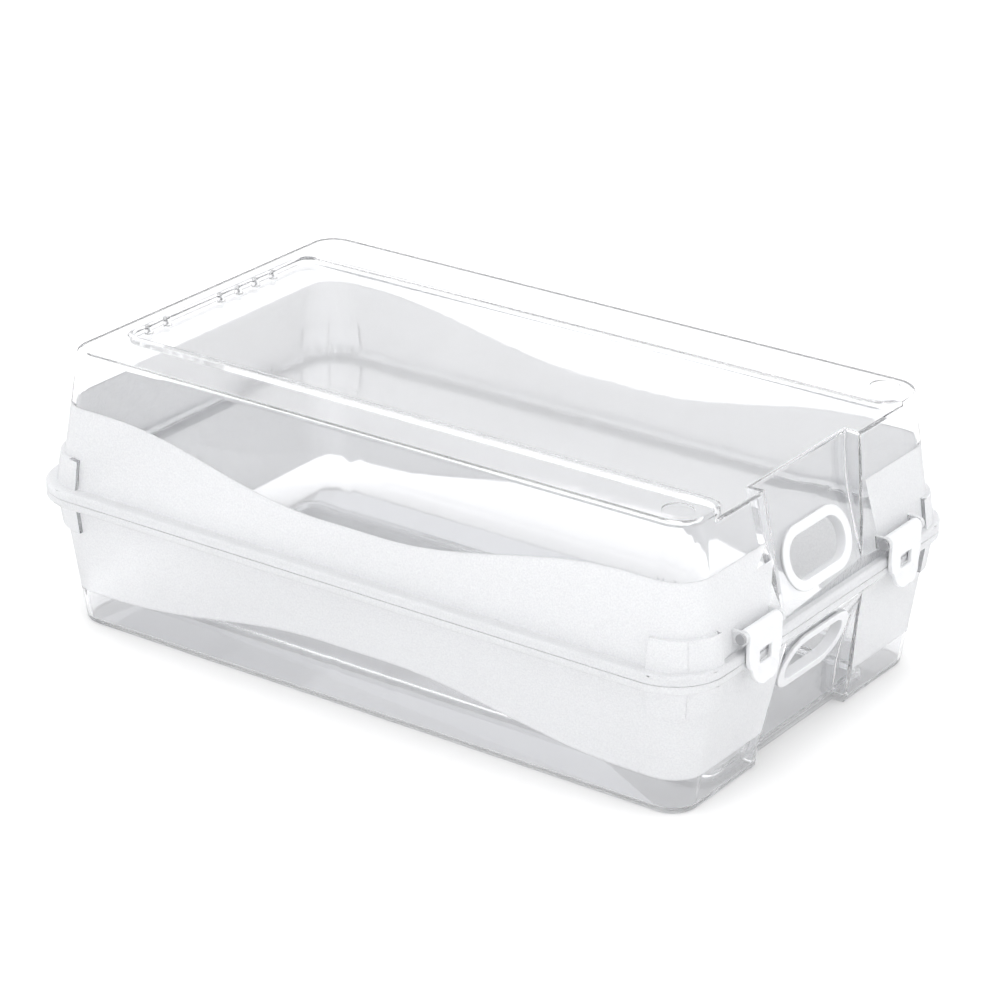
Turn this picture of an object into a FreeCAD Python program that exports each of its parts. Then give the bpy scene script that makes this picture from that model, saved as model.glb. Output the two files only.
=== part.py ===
import FreeCAD, Part
import os
import Sketcher
from FreeCAD import Placement, Rotation, Vector

# Clear egg holder tray: two hinged half shells with grip rims and two front latches.
# Millimetres, +Z up. The origin is the middle of the tray's outline on the plane that it
# stands on, +X is the front end with the latches and grips, and the hinge is at the rear.
# Each half shell is modelled with its opening upwards, and the upper one is turned over.

SIZES = {
    "length": 340.0,  # over the walls at the rim
    "width": 205.0,  # over the walls at the rim
    "height": 129.0,  # both halves, closed
    "parting_gap": 0.3,
    "wall": 2.0,
    "lean": 9.5,  # how far each wall leans in from the rim to the base
    "base_corner": 12.0,  # corner radius of the base, seen from above
    "base_round": 2.4,  # rounding between the base and the walls
    "flange_side": 5.5,
    "flange_front": 3.0,
    "flange_height": 3.9,
    "flange_round": 1.5,
    "patch_proud": 2.0,  # thickened corner, outwards
    "patch_height": 17.0,
    "rail_width": 30.0,
    "rear_rail_width": 10.0,
    "rail_height": 3.5,
    "nose_radius": 10.0,
    "recess_corner": 6.0,
    "channel_base_width": 74.0,
    "channel_rim_width": 60.0,
    "channel_depth": 6.8,
    "channel_start": 8.0,  # below the rim
    "channel_full": 48.0,  # below the rim
    "grip_below_rim": 22.6,
    "bezel_length": 52.0,
    "bezel_breadth": 28.0,
    "bezel_thickness": 1.4,
    "grip_length": 42.5,
    "grip_breadth": 19.0,
    "collar_wall": 1.8,
    "collar_depth": 3.6,
    "seat_clearance": 0.15,
    "latch_spacing": 113.0,
    "latch_width": 25.0,
    "latch_above_rim": 11.2,
    "latch_reach": 22.5,  # pin to the tip of the tab
    "latch_thickness": 2.0,
    "latch_gap": 0.6,  # between the front flange and the flap
    "latch_corner": 9.0,
    "window_width": 9.0,
    "window_height": 6.0,
    "window_drop": 11.0,  # pin to the middle of the window
    "tab_flare": 1.8,
    "barrel_radius": 2.9,
    "ear_thickness": 2.0,
    "ear_gap": 0.3,
    "pin_radius": 1.5,
    "pin_head_radius": 2.3,
    "pin_head": 0.7,
    "pin_fit": 0.05,
    "nub_clearance": 0.3,
    "nub_width": 7.0,
    "nub_height": 2.4,
    "hinge_spacing": 113.0,
    "hinge_offset": 4.3,  # axis outboard of the rear flange
    "knuckle_radius": 3.5,
    "knuckle_middle": 12.0,
    "knuckle_side": 8.0,
    "knuckle_gap": 0.3,
    "lip_height": 1.5,
    "lip_wall": 0.9,
    "lip_clearance": 0.4,
    "rib_radius": 2.0,
    "rib_pitch": 12.5,
    "dimple_radius": 6.5,
    "dimple_depth": 0.4,
    "dimple_inset_x": 13.0,
    "dimple_inset_y": 12.0,
}

S = "Sizes."
DEPTH = f"(({S}height - {S}parting_gap) / 2)"
HALF_LENGTH = f"({S}length / 2)"
HALF_WIDTH = f"({S}width / 2)"
BASE_FRONT = f"({HALF_LENGTH} - {S}lean)"
BASE_SIDE = f"({HALF_WIDTH} - {S}lean)"
RIM_CORNER = f"({S}base_corner + {S}lean)"
DRAFT = f"atan({S}lean / {DEPTH})"
RECESS_SIDE = f"({BASE_SIDE} - {S}rail_width)"
RECESS_REAR = f"({BASE_FRONT} - {S}rear_rail_width)"
FLAP_BACK = f"({HALF_LENGTH} + {S}flange_front + {S}latch_gap)"
LATCH_AXIS_X = f"({FLAP_BACK} + {S}latch_thickness - {S}barrel_radius)"
LATCH_AXIS_Z = f"({S}height / 2 + {S}latch_above_rim)"
HINGE_AXIS_X = f"({HALF_LENGTH} + {S}flange_side + {S}hinge_offset)"
REARMOST = f"({HINGE_AXIS_X} + {S}knuckle_radius)"
FRONTMOST = f"({FLAP_BACK} + {S}latch_thickness + {S}tab_flare)"
CENTRING = f"(({REARMOST} - {FRONTMOST}) / 2)"  # from the walls' middle to the whole tray's
BORE = f"({S}pin_radius + {S}pin_fit)"

doc = FreeCAD.newDocument("EggTray")


def make_sheet():
    sheet = doc.addObject("Spreadsheet::Sheet", "Sizes")
    for row, (name, size) in enumerate(SIZES.items(), start=1):
        sheet.set(f"A{row}", name)
        sheet.set(f"B{row}", str(size))
        sheet.setAlias(f"B{row}", name)
    doc.recompute()
    return sheet


sheet = make_sheet()


def value(expression):
    """The number that an expression gives with the sheet's present sizes."""
    result = sheet.evalExpression(str(expression))
    return float(getattr(result, "Value", result))


def new_body(name):
    body = doc.addObject("PartDesign::Body", name)
    body.Label = name
    body.setExpression("Placement.Base.x", CENTRING)
    return body


def new_sketch(body, name, plane="XY_Plane", offset="0", tilt=None, shift="0"):
    """A sketch on an origin plane, moved along its normal and, on YZ, tilted about Y."""
    sketch = body.newObject("Sketcher::SketchObject", name)
    planes = [f for f in body.Origin.OriginFeatures if f.Role == plane]
    sketch.AttachmentSupport = [(planes[0], "")]
    sketch.MapMode = "FlatFace"
    turn = Rotation(Vector(1, 0, 0), value(tilt) if tilt else 0)
    sketch.AttachmentOffset = Placement(Vector(0, value(shift), value(offset)), turn)
    if offset != "0":
        sketch.setExpression("AttachmentOffset.Base.z", offset)
    if shift != "0":
        sketch.setExpression("AttachmentOffset.Base.y", shift)
    if tilt:
        sketch.setExpression("AttachmentOffset.Rotation.Angle", tilt)
    return sketch


def pin_down(sketch, geometry, position, x, y):
    """Hold one point of the sketch at a place given by two expressions."""
    for kind, axis, expression in (("DistanceX", -2, x), ("DistanceY", -1, y)):
        if expression == "0":
            sketch.addConstraint(Sketcher.Constraint("PointOnObject", geometry, position, axis))
            continue
        bind(sketch, kind, (-1, 1, geometry, position), expression)


def bind(sketch, kind, where, expression):
    index = sketch.addConstraint(Sketcher.Constraint(kind, *where, value(expression)))
    sketch.setExpression(f"Constraints[{index}]", expression)


def draw(sketch, corners):
    """A closed outline. Each corner is (x, y) or (x, y, centre x, centre y, turn): the last
    form starts an arc to the next corner, with turn 1 anticlockwise and -1 clockwise."""
    places = [Vector(value(c[0]), value(c[1]), 0) for c in corners]
    starts = []
    ends = []
    for i, corner in enumerate(corners):
        here = places[i]
        there = places[(i + 1) % len(corners)]
        if len(corner) == 2:
            index = sketch.addGeometry(Part.LineSegment(here, there), False)
            starts.append((index, 1))
            ends.append((index, 2))
            continue
        centre = Vector(value(corner[2]), value(corner[3]), 0)
        circle = Part.Circle(centre, Vector(0, 0, 1), (here - centre).Length)
        first, last = (here, there) if corner[4] > 0 else (there, here)
        arc = Part.ArcOfCircle(circle, circle.parameter(first), circle.parameter(last))
        index = sketch.addGeometry(arc, False)
        starts.append((index, 1 if corner[4] > 0 else 2))
        ends.append((index, 2 if corner[4] > 0 else 1))
        if abs(there.x - here.x) > 3 * abs(there.y - here.y):
            if corner[3] == "0":
                sketch.addConstraint(Sketcher.Constraint("PointOnObject", index, 3, -1))
            else:
                bind(sketch, "DistanceY", (-1, 1, index, 3), corner[3])
        elif corner[2] == "0":
            sketch.addConstraint(Sketcher.Constraint("PointOnObject", index, 3, -2))
        else:
            bind(sketch, "DistanceX", (-1, 1, index, 3), corner[2])
    for i, corner in enumerate(corners):
        sketch.addConstraint(Sketcher.Constraint("Coincident", *ends[i - 1], *starts[i]))
        pin_down(sketch, *starts[i], corner[0], corner[1])


def draw_circle(sketch, x, y, radius):
    circle = Part.Circle(Vector(value(x), value(y), 0), Vector(0, 0, 1), value(radius))
    index = sketch.addGeometry(circle, False)
    pin_down(sketch, index, 3, x, y)
    bind(sketch, "Radius", (index,), radius)


def rounded_box(rear, front, side, radius):
    """Corners of a rectangle from -rear to front and -side to side, with equal radii."""
    back = f"-({rear}) + {radius}"
    fore = f"{front} - ({radius})"
    low = f"-({side}) + {radius}"
    high = f"{side} - ({radius})"
    return [
        (back, f"-({side})"),
        (fore, f"-({side})", fore, low, 1),
        (front, low),
        (front, high, fore, high, 1),
        (fore, side),
        (back, side, back, high, 1),
        (f"-({rear})", high),
        (f"-({rear})", low, back, low, 1),
    ]


def box(x_low, x_high, y_low, y_high):
    return [(x_low, y_low), (x_high, y_low), (x_high, y_high), (x_low, y_high)]


def stadium(length, breadth):
    radius = f"({breadth}) / 2"
    middle = f"({length} - ({breadth})) / 2"
    return [
        (f"-({middle})", f"-({radius})"),
        (middle, f"-({radius})", middle, "0", 1),
        (middle, radius),
        (f"-({middle})", radius, f"-({middle})", "0", 1),
    ]


def pad(body, name, sketch, length, taper=None, both=False):
    """Pad along the sketch's normal, or half each way with both."""
    feature = body.newObject("PartDesign::Pad", name)
    feature.Profile = sketch
    feature.setExpression("Length", length)
    if taper:
        feature.setExpression("TaperAngle", taper)
    if both:
        feature.SideType = "Symmetric"
    return feature


def pocket(body, name, sketch, length, against=True, taper=None, both=False):
    """Cut against the sketch's normal, or along it when against is False."""
    before = body.Shape.Volume if body.Shape else 0
    feature = body.newObject("PartDesign::Pocket", name)
    feature.Profile = sketch
    feature.setExpression("Length", length)
    feature.Reversed = not against
    if taper:
        feature.setExpression("TaperAngle", taper)
    if both:
        feature.SideType = "Symmetric"
    doc.recompute()
    if before and not body.Shape.Volume < before:
        raise RuntimeError(f"{name} cuts nothing")
    return feature


def loft(body, kind, name, sketches, ruled=False):
    feature = body.newObject(f"PartDesign::{kind}Loft", name)
    feature.Profile = sketches[0]
    feature.Sections = [(s, [""]) for s in sketches[1:]]
    feature.Ruled = ruled
    doc.recompute()
    return feature


def fillet(body, name, base, radius, keep):
    """Round the edges of the base feature for which keep(edge) is true."""
    doc.recompute()
    names = [f"Edge{i}" for i, e in enumerate(base.Shape.Edges, start=1) if keep(e)]
    if not names:
        raise RuntimeError(f"{name} finds no edge")
    feature = body.newObject("PartDesign::Fillet", name)
    feature.Base = (base, names)
    feature.setExpression("Radius", radius)
    doc.recompute()
    return feature


def lies_at(edge, z):
    box_of = edge.BoundBox
    return abs(box_of.ZMin - z) < 1e-4 and abs(box_of.ZMax - z) < 1e-4


def open_recess_outline(grow, front):
    """The middle panel between the rails: open at the front, with rounded rail noses."""
    side = f"({RECESS_SIDE} + {grow})"
    rear = f"({RECESS_REAR} + {grow})"
    corner = f"({S}recess_corner + {grow})"
    nose = f"({S}nose_radius - {grow})"
    nose_x = f"({BASE_FRONT} - {S}nose_radius)"
    nose_y = f"({side} + {nose})"
    return [
        (f"-{rear} + {corner}", f"-{side}"),
        (nose_x, f"-{side}", nose_x, f"-{nose_y}", -1),
        (f"{nose_x} + {nose}", f"-{nose_y}"),
        (front, f"-{nose_y}"),
        (front, nose_y),
        (f"{nose_x} + {nose}", nose_y, nose_x, nose_y, -1),
        (nose_x, side),
        (f"-{rear} + {corner}", side, f"-{rear} + {corner}", f"{side} - {corner}", 1),
        (f"-{rear}", f"{side} - {corner}"),
        (f"-{rear}", f"-{side} + {corner}", f"-{rear} + {corner}", f"-{side} + {corner}", 1),
    ]


def channel_floor(drop):
    """X of the channel's floor at a drop below the rim."""
    face = f"{HALF_LENGTH} - {S}lean * ({drop}) / {DEPTH}"
    share = f"(({drop}) - {S}channel_start) / ({S}channel_full - {S}channel_start)"
    return f"({face} - {S}channel_depth * sin(90deg * max(0; min(1; {share}))))"


def channel_side(drop):
    spread = f"({S}channel_base_width - {S}channel_rim_width) / 2"
    return f"({S}channel_rim_width / 2 + {spread} * ({drop}) / {DEPTH})"


def channel_drops():
    """Drops below the rim of the channel's sections, from its start to the base."""
    run = f"({S}channel_full - {S}channel_start)"
    shares = (0, 0.25, 0.5, 0.75, 1)
    return [f"({S}channel_start + {share} * {run})" for share in shares] + [DEPTH]


def add_corner_patches(body):
    """Thickened corners just below the rim, which follow the drafted wall."""
    for x_sign, y_sign in ((1, 1), (-1, 1), (-1, -1), (1, -1)):
        sections = []
        tag = f"{'Front' if x_sign > 0 else 'Rear'}{'Left' if y_sign > 0 else 'Right'}"
        for step, drop in enumerate(("0", f"{S}patch_height")):
            shrink = f"({S}lean * {drop} / {DEPTH})"
            outer = f"({RIM_CORNER} + {S}patch_proud - {shrink})"
            inner = f"({RIM_CORNER} - {S}wall / 2 - {shrink})"
            x = f"{x_sign} * ({HALF_LENGTH} - {RIM_CORNER})"
            y = f"{y_sign} * ({HALF_WIDTH} - {RIM_CORNER})"
            turn = x_sign * y_sign
            sketch = new_sketch(body, f"Patch{tag}{step}", offset=f"{DEPTH} - {drop}")
            draw(sketch, [
                (f"{x} + {x_sign} * {outer}", y, x, y, turn),
                (x, f"{y} + {y_sign} * {outer}"),
                (x, f"{y} + {y_sign} * {inner}", x, y, -turn),
                (f"{x} + {x_sign} * {inner}", y),
            ])
            sections.append(sketch)
        loft(body, "Additive", f"Patch{tag}", sections, ruled=True)


def add_channel(body):
    """The front channel: an inner bulge, then the hollow that is cut into it."""
    bulge = []
    hollow = []
    for step, drop in enumerate(channel_drops()):
        level = f"{DEPTH} - {drop}"
        last = step == len(channel_drops()) - 1
        inner = new_sketch(body, f"Bulge{step}", offset=f"{S}rail_height" if last else level)
        outside = f"{HALF_LENGTH} - {S}lean * {drop} / {DEPTH} - {S}wall / 2"
        floor = channel_floor(f"{DEPTH} - {S}rail_height" if last else drop)
        side = f"({channel_side(drop)} + {S}wall)"
        draw(inner, box(f"{floor} - {S}wall", outside, f"-{side}", side))
        bulge.append(inner)
        outer = new_sketch(body, f"Hollow{step}", offset=f"-{S}wall" if last else level)
        reach = f"{HALF_LENGTH} + 3 * {S}flange_side"
        side = channel_side(drop)
        draw(outer, box(channel_floor(drop), reach, f"-{side}", side))
        hollow.append(outer)
    loft(body, "Additive", "ChannelBulge", bulge)
    loft(body, "Subtractive", "Channel", hollow)


def grip_plane():
    """The bezel's seat: its X and height in a shell, and how far it leans outwards. It spans
    the hollow of the channel's floor from the bezel's lower edge to its upper one."""
    near = channel_floor(f"{S}grip_below_rim - {S}bezel_breadth / 2")
    far = channel_floor(f"{S}grip_below_rim + {S}bezel_breadth / 2")
    tilt = f"atan(({near} - {far}) / {S}bezel_breadth)"
    return f"({near} + {far}) / 2", f"{DEPTH} - {S}grip_below_rim", tilt


def add_grip_hole(body):
    x, z, tilt = grip_plane()
    sketch = new_sketch(body, "GripHole", "YZ_Plane", offset=x, tilt=tilt, shift=z)
    across = f"{S}grip_length + 2 * ({S}collar_wall + {S}seat_clearance)"
    high = f"{S}grip_breadth + 2 * ({S}collar_wall + {S}seat_clearance)"
    draw(sketch, stadium(across, high))
    pocket(body, "GripOpening", sketch, f"6 * {S}wall + 2 * {S}channel_depth", both=True)


def add_hinge_knuckles(body, spans):
    """Barrels on the rear flange, each a (start, end) along the hinge from its middle."""
    x = f"-{HINGE_AXIS_X}"
    z = f"({DEPTH} + {S}parting_gap / 2)"
    radius = f"{S}knuckle_radius"
    root = f"-({HALF_LENGTH} + {S}flange_side / 2)"
    web_low = f"{DEPTH} - {S}flange_height"
    number = 0
    for y_sign in (1, -1):
        for start, end in spans:
            number += 1
            middle = f"{y_sign} * {S}hinge_spacing / 2"
            y = f"-({middle} + ({start} + ({end})) / 2)"
            sketch = new_sketch(body, f"KnuckleSketch{number}", "XZ_Plane", offset=y)
            draw_circle(sketch, x, z, radius)
            pad(body, f"Knuckle{number}", sketch, f"{end} - ({start})", both=True)
            web = new_sketch(body, f"WebSketch{number}", "XZ_Plane", offset=y)
            draw(web, box(x, root, web_low, DEPTH))
            pad(body, f"Web{number}", web, f"{end} - ({start})", both=True)
    bore = new_sketch(body, "HingeBoreSketch", "XZ_Plane")
    draw_circle(bore, x, z, BORE)
    doc.recompute()
    pocket(body, "HingeBore", bore, f"2 * {HALF_WIDTH}", both=True)


def closed_recess_outline(grow):
    """The middle panel between the rails, closed at the front as well."""
    front = f"({channel_floor(DEPTH)} - {S}wall + {grow})"
    corner = f"({S}recess_corner + {grow})"
    return rounded_box(f"({RECESS_REAR} + {grow})", front, f"({RECESS_SIDE} + {grow})", corner)


def shell(name, panel_outline, hollow_outline):
    """What the two halves share, with the opening upwards and the base at z = 0. The two
    outlines are the middle panel's, seen inside and outside."""
    body = new_body(name)
    base = new_sketch(body, "BaseOutline")
    draw(base, rounded_box(BASE_FRONT, BASE_FRONT, BASE_SIDE, f"{S}base_corner"))
    tub = pad(body, "Tub", base, DEPTH, taper=DRAFT)
    fillet(body, "BaseRound", tub, f"{S}base_round", lambda e: lies_at(e, 0))
    rim = new_sketch(body, "FlangeOutline", offset=f"{DEPTH} - {S}flange_height")
    front = f"({HALF_LENGTH} + {S}flange_front)"
    rear = f"({HALF_LENGTH} + {S}flange_side)"
    side = f"({HALF_WIDTH} + {S}flange_side)"
    draw(rim, rounded_box(rear, front, side, f"({RIM_CORNER} + {S}flange_front)"))
    flange = pad(body, "Flange", rim, f"{S}flange_height")
    doc.recompute()
    under = value(f"{DEPTH} - {S}flange_height")
    reach = value(f"{HALF_WIDTH} + {S}flange_side / 2")
    outer = value(f"{HALF_LENGTH} + {S}flange_front / 2")
    fillet(body, "FlangeRound", flange, f"{S}flange_round", lambda e: lies_at(e, under) and (
        abs(e.CenterOfMass.y) > reach or abs(e.CenterOfMass.x) > outer
        or is_outer_corner(e)))
    add_corner_patches(body)
    mouth = new_sketch(body, "MouthOutline", offset=DEPTH)
    inside = f"{S}wall"
    draw(mouth, rounded_box(f"({HALF_LENGTH} - {inside})", f"({HALF_LENGTH} - {inside})",
                            f"({HALF_WIDTH} - {inside})", f"({RIM_CORNER} - {inside})"))
    pocket(body, "Cavity", mouth, f"{DEPTH} - {S}wall", taper=f"-{DRAFT}")
    panel = new_sketch(body, "PanelOutline", offset=f"{S}wall")
    draw(panel, panel_outline)
    pad(body, "RaisedPanel", panel, f"{S}rail_height")
    recess = new_sketch(body, "RecessOutline")
    draw(recess, hollow_outline)
    doc.recompute()
    pocket(body, "Recess", recess, f"{S}rail_height", against=False)
    add_channel(body)
    add_grip_hole(body)
    return body


def is_outer_corner(edge):
    """An arc of the flange's outline rather than of the wall's."""
    radius = getattr(edge.Curve, "Radius", 0)
    return abs(radius - value(f"{RIM_CORNER} + {S}flange_front")) < 1e-3


def turn_over(body):
    """Put a half that was modelled opening upwards on top of the other half."""
    place = Vector(value(CENTRING), 0, value(f"{S}height"))
    body.Placement = Placement(place, Rotation(Vector(1, 0, 0), 180))
    body.setExpression("Placement.Base.z", f"{S}height")


def lower_shell():
    body = shell("lower_shell", closed_recess_outline(f"{S}wall"), closed_recess_outline("0"))
    side = f"{S}knuckle_middle / 2 + {S}knuckle_gap"
    add_hinge_knuckles(body, [
        (side, f"{side} + {S}knuckle_side"),
        (f"-({side} + {S}knuckle_side)", f"-({side})"),
    ])
    add_locating_lip(body)
    add_catch_nubs(body)
    return body


def add_locating_lip(body):
    """A thin wall inside the mouth that the upper half drops over."""
    gap = f"{S}wall + {S}lip_clearance"
    rings = []
    for name, inset in (("LipOuter", gap), ("LipInner", f"{gap} + {S}lip_wall")):
        rings.append(rounded_box(
            f"({HALF_LENGTH} - ({inset}))", f"({HALF_LENGTH} - ({inset}))",
            f"({HALF_WIDTH} - ({inset}))", f"({RIM_CORNER} - ({inset}))"))
    sketch = new_sketch(body, "LipOutline", offset=f"{DEPTH} - {S}lip_height")
    for ring in rings:
        draw(sketch, ring)
    pad(body, "Lip", sketch, f"2 * {S}lip_height")
    root = new_sketch(body, "LipRootOutline", offset=f"{DEPTH} - 2 * {S}lip_height")
    draw(root, rounded_box(
        f"({HALF_LENGTH} - {S}wall / 2)", f"({HALF_LENGTH} - {S}wall / 2)",
        f"({HALF_WIDTH} - {S}wall / 2)", f"({RIM_CORNER} - {S}wall / 2)"))
    draw(root, rings[1])
    pad(body, "LipRoot", root, f"{S}lip_height")


def add_catch_nubs(body):
    """Small catches on the lower front flange, behind each latch window."""
    tip = f"{FLAP_BACK} - {S}nub_clearance"
    middle = f"{DEPTH} - {S}nub_clearance - {S}nub_height / 2"
    for number, y_sign in enumerate((1, -1), start=1):
        y = f"{y_sign} * {S}latch_spacing / 2"
        sketch = new_sketch(body, f"NubSketch{number}", "YZ_Plane", offset=HALF_LENGTH)
        draw(sketch, box(f"{y} - {S}nub_width / 2", f"{y} + {S}nub_width / 2",
                         f"{middle} - {S}nub_height / 2", f"{middle} + {S}nub_height / 2"))
        pad(body, f"Nub{number}", sketch, f"{tip} - {HALF_LENGTH}")


def upper_shell():
    inside = open_recess_outline(f"{S}wall", f"({BASE_FRONT} - {S}wall / 2)")
    outside = open_recess_outline("0", f"({HALF_LENGTH} + {S}lean)")
    body = shell("upper_shell", inside, outside)
    half = f"{S}knuckle_middle / 2"
    add_hinge_knuckles(body, [(f"-{half}", half)])
    add_latch_ears(body)
    add_rail_ribs(body)
    add_dimples(body)
    turn_over(body)
    return body


def add_latch_ears(body):
    """Two ears beside each latch, which hold its pin."""
    x = LATCH_AXIS_X
    z = f"({S}height - {LATCH_AXIS_Z})"
    radius = f"{S}barrel_radius"
    root = f"({HALF_LENGTH} - {S}lean * ({DEPTH} - ({z})) / {DEPTH} - {S}wall / 2)"
    number = 0
    for y_sign in (1, -1):
        for side in (1, -1):
            number += 1
            y = f"-({y_sign} * {S}latch_spacing / 2 + {side} * ({ear_middle()}))"
            sketch = new_sketch(body, f"EarSketch{number}", "XZ_Plane", offset=y)
            draw(sketch, [
                (root, f"{z} - {radius}"),
                (x, f"{z} - {radius}", x, z, 1),
                (x, f"{z} + {radius}"),
                (root, f"{z} + {radius}"),
            ])
            pad(body, f"Ear{number}", sketch, f"{S}ear_thickness", both=True)
    bore = new_sketch(body, "LatchBoreSketch", "XZ_Plane")
    draw_circle(bore, x, z, BORE)
    doc.recompute()
    pocket(body, "LatchBore", bore, f"{S}width", both=True)


def ear_middle():
    """From the middle of a latch to the middle of its ear."""
    return f"{S}latch_width / 2 + {S}ear_gap + {S}ear_thickness / 2"


def add_rail_ribs(body):
    """Small half round ribs on the step inside the rear rail."""
    x = f"-({RECESS_REAR})"
    for number, place in enumerate((-4, -3, 0, 1, 2, 3), start=1):
        y = f"-{place} * {S}rib_pitch" if place else "0"
        sketch = new_sketch(body, f"RibSketch{number}")
        draw_circle(sketch, x, y, f"{S}rib_radius")
        pad(body, f"Rib{number}", sketch, f"{S}rail_height + {S}wall / 2")


def add_dimples(body):
    """A shallow round mark near the front end of each rail."""
    sketch = new_sketch(body, "DimpleSketch")
    for y_sign in (1, -1):
        x = f"{BASE_FRONT} - {S}dimple_inset_x"
        y = f"{y_sign} * ({BASE_SIDE} - {S}dimple_inset_y)"
        draw_circle(sketch, x, y, f"{S}dimple_radius")
    doc.recompute()
    pocket(body, "Dimples", sketch, f"{S}dimple_depth", against=False)


def grip_rim(name):
    """A trim ring: a bezel outside the channel floor and a collar through it."""
    body = new_body(name)
    x, z, tilt = grip_plane()
    seat = f"({x} + {S}seat_clearance)"
    hole = stadium(f"{S}grip_length", f"{S}grip_breadth")
    bezel = new_sketch(body, "BezelOutline", "YZ_Plane", offset=seat, tilt=tilt, shift=z)
    draw(bezel, stadium(f"{S}bezel_length", f"{S}bezel_breadth"))
    draw(bezel, hole)
    pad(body, "Bezel", bezel, f"{S}bezel_thickness")
    collar = new_sketch(body, "CollarOutline", "YZ_Plane", offset=seat, tilt=tilt, shift=z)
    draw(collar, stadium(f"{S}grip_length + 2 * {S}collar_wall",
                         f"{S}grip_breadth + 2 * {S}collar_wall"))
    draw(collar, hole)
    feature = pad(body, "Collar", collar, f"{S}collar_depth")
    feature.Reversed = True
    doc.recompute()
    return body


def latch(name, y_sign):
    """A flap on a barrel, with a window for the catch and a flared finger tab."""
    body = new_body(name)
    x = LATCH_AXIS_X
    z = LATCH_AXIS_Z
    back = FLAP_BACK
    front = f"({back} + {S}latch_thickness)"
    tip = f"({z} - {S}latch_reach)"
    bend = f"({tip} + {S}latch_corner)"
    y = f"-({y_sign} * {S}latch_spacing / 2)"
    sketch = new_sketch(body, "FlapProfile", "XZ_Plane", offset=y)
    draw(sketch, [
        (back, z),
        (back, bend),
        (f"{back} + {S}tab_flare", tip),
        (f"{front} + {S}tab_flare", tip),
        (front, bend),
        (front, z),
    ])
    pad(body, "Flap", sketch, f"{S}latch_width", both=True)
    barrel = new_sketch(body, "BarrelProfile", "XZ_Plane", offset=y)
    draw_circle(barrel, x, z, f"{S}barrel_radius")
    pad(body, "Barrel", barrel, f"{S}latch_width", both=True)
    round_tab(body, y_sign, tip)
    window = new_sketch(body, "WindowOutline", "YZ_Plane", offset=back)
    middle = f"{z} - {S}window_drop"
    across = f"{y_sign} * {S}latch_spacing / 2"
    draw(window, box(f"{across} - {S}window_width / 2", f"{across} + {S}window_width / 2",
                     f"{middle} - {S}window_height / 2", f"{middle} + {S}window_height / 2"))
    pocket(body, "Window", window, f"4 * {S}latch_thickness", both=True)
    bore = new_sketch(body, "BoreProfile", "XZ_Plane", offset=y)
    draw_circle(bore, x, z, BORE)
    pocket(body, "Bore", bore, f"2 * {S}latch_width", both=True)
    return body


def round_tab(body, y_sign, tip):
    """Cut both lower corners of the tab to a radius, seen from the front."""
    radius = f"{S}latch_corner"
    beyond = f"{S}latch_thickness"
    sketch = new_sketch(body, "TabCorners", "YZ_Plane", offset=FLAP_BACK)
    for side in (1, -1):
        edge = f"{y_sign} * {S}latch_spacing / 2 + {side} * {S}latch_width / 2"
        inner = f"{edge} - {side} * {radius}"
        outer = f"{edge} + {side} * {beyond}"
        draw(sketch, [
            (inner, tip, inner, f"{tip} + {radius}", side),
            (edge, f"{tip} + {radius}"),
            (outer, f"{tip} + {radius}"),
            (outer, f"{tip} - {beyond}"),
            (inner, f"{tip} - {beyond}"),
        ])
    doc.recompute()
    pocket(body, "TabRounding", sketch, f"8 * {S}latch_thickness", both=True)


def pivot_pin(name, x, y, z, length):
    """A headed pin along Y through a hinge."""
    body = new_body(name)
    shank = new_sketch(body, "ShankProfile", "XZ_Plane", offset=f"-({y})")
    draw_circle(shank, x, z, f"{S}pin_radius")
    pad(body, "Shank", shank, length, both=True)
    head = new_sketch(body, "HeadProfile", "XZ_Plane", offset=f"-({y}) + ({length}) / 2")
    draw_circle(head, x, z, f"{S}pin_head_radius")
    pad(body, "Head", head, f"{S}pin_head")
    doc.recompute()
    return body


def latch_pin(name, y_sign):
    length = f"{S}latch_width + 2 * ({S}ear_gap + {S}ear_thickness + {S}seat_clearance)"
    return pivot_pin(name, LATCH_AXIS_X, f"{y_sign} * {S}latch_spacing / 2", LATCH_AXIS_Z, length)


def hinge_pin(name, y_sign):
    sides = f"{S}knuckle_gap + {S}knuckle_side + {S}seat_clearance"
    length = f"{S}knuckle_middle + 2 * ({sides})"
    y = f"{y_sign} * {S}hinge_spacing / 2"
    return pivot_pin(name, f"-{HINGE_AXIS_X}", y, f"({S}height / 2)", length)


def check(parts):
    for item in doc.Objects:
        if "Invalid" in item.State or "Error" in item.State:
            raise RuntimeError(f"{item.Label} is {item.State}")
    for body in parts:
        shape = body.Shape
        if shape.isNull() or not shape.isValid() or not shape.Solids:
            raise RuntimeError(f"{body.Label} has no valid solid")


def main():
    parts = [lower_shell(), upper_shell(), grip_rim("lower_grip_rim")]
    upper_rim = grip_rim("upper_grip_rim")
    turn_over(upper_rim)
    parts.append(upper_rim)
    for side, y_sign in (("left", 1), ("right", -1)):
        parts.append(latch(f"{side}_latch", y_sign))
        parts.append(latch_pin(f"{side}_latch_pin", y_sign))
        parts.append(hinge_pin(f"{side}_hinge_pin", y_sign))
    doc.recompute()
    check(parts)
    os.makedirs("parts", exist_ok=True)
    for body in parts:
        body.Shape.exportStep(f"parts/{body.Label}.step")
        extent = body.Shape.BoundBox
        print(body.Label, len(body.Shape.Solids), round(body.Shape.Volume, 1),
              [round(v, 2) for v in (extent.XMin, extent.XMax, extent.YMin, extent.YMax,
                                     extent.ZMin, extent.ZMax)])


main()
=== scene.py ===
import math

import bmesh
import bpy
from bpy.props import FloatProperty, FloatVectorProperty, IntProperty, PointerProperty
from mathutils import Matrix, Vector


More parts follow.
